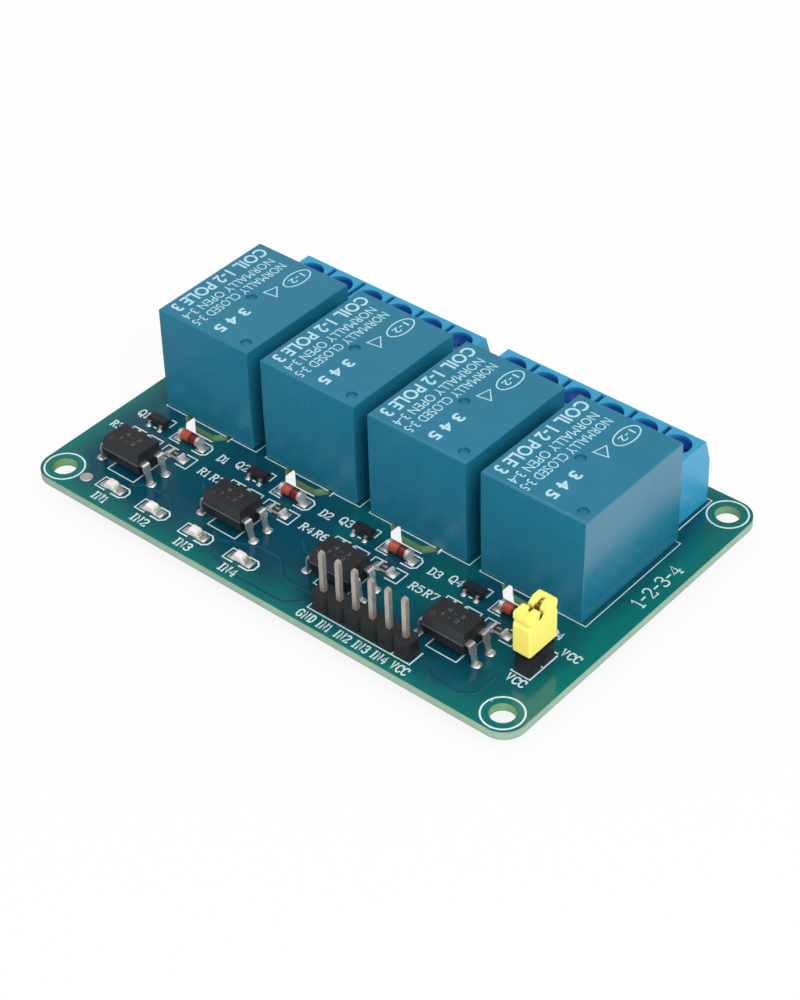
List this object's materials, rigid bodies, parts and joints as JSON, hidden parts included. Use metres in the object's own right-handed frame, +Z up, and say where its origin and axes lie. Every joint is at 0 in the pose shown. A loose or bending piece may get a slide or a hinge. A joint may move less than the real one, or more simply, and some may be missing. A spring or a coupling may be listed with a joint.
{
  "type": "relay module board",
  "caption": "Relay module: a slotted circuit board with sealed relays, screw terminal blocks, isolated drive channels, a pin header and a supply jumper.",
  "frame": {"origin": "middle of the four mounting holes, on the underside of the board", "axes": "+X along the length of the board, +Y across it towards the screw terminals, +Z up out of the component side"},
  "size_m": [0.0772, 0.0504, 0.0187],
  "materials": {
    "board_laminate": "glossy solder mask over glass laminate",
    "relay_plastic": "satin moulded",
    "terminal_plastic": "satin moulded",
    "zinc_plate": "zinc plated",
    "tinned_metal": "tin plated",
    "black_epoxy": "moulded epoxy",
    "diode_glass": "red glass with a black band",
    "chip_ceramic": "glazed black with tinned ends",
    "lamp_base": "white laminate",
    "lamp_lens": "clear resin",
    "header_plastic": "moulded black",
    "solder": "bright solder",
    "jumper_plastic": "bright moulded",
    "contact_brass": "bright"
  },
  "bodies": {
    "module": {"circuit_board": "board_laminate", "relay_1": "relay_plastic", "relay_2": "relay_plastic", "relay_3": "relay_plastic", "relay_4": "relay_plastic", "relay_pins_1": "tinned_metal", "relay_pins_2": "tinned_metal", "relay_pins_3": "tinned_metal", "relay_pins_4": "tinned_metal", "terminal_housing_left": "terminal_plastic", "terminal_housing_right": "terminal_plastic", "clamp_screws_left": "zinc_plate", "clamp_screws_right": "zinc_plate", "clamp_cages_left": "zinc_plate", "clamp_cages_right": "zinc_plate", "terminal_contacts_left": "tinned_metal", "terminal_contacts_right": "tinned_metal", "optocoupler_1": "black_epoxy", "optocoupler_2": "black_epoxy", "optocoupler_3": "black_epoxy", "optocoupler_4": "black_epoxy", "optocoupler_leads_1": "tinned_metal", "optocoupler_leads_2": "tinned_metal", "optocoupler_leads_3": "tinned_metal", "optocoupler_leads_4": "tinned_metal", "transistor_1": "black_epoxy", "transistor_2": "black_epoxy", "transistor_3": "black_epoxy", "transistor_4": "black_epoxy", "transistor_legs": "tinned_metal", "diode_1": "diode_glass", "diode_2": "diode_glass", "diode_3": "diode_glass", "diode_4": "diode_glass", "diode_end_caps": "tinned_metal", "input_resistor_1": "chip_ceramic", "input_resistor_2": "chip_ceramic", "input_resistor_3": "chip_ceramic", "input_resistor_4": "chip_ceramic", "base_resistor_1": "chip_ceramic", "base_resistor_2": "chip_ceramic", "base_resistor_3": "chip_ceramic", "base_resistor_4": "chip_ceramic", "led_1": "lamp_base", "led_2": "lamp_base", "led_3": "lamp_base", "led_4": "lamp_base", "led_lenses": "lamp_lens", "input_header_strip": "header_plastic", "jumper_header_strip": "header_plastic", "input_header_pins": "tinned_metal", "jumper_header_pins": "tinned_metal", "solder_joints": "solder", "solder_pads": "solder"},
    "jumper": {"jumper_cap": "jumper_plastic", "jumper_contact": "contact_brass"}
  },
  "joints": [
    {"name": "jumper_pull", "type": "slide", "parent": "module", "child": "jumper", "axis": [0, 0, 1], "range_m": [0, 0.0065]}
  ]
}
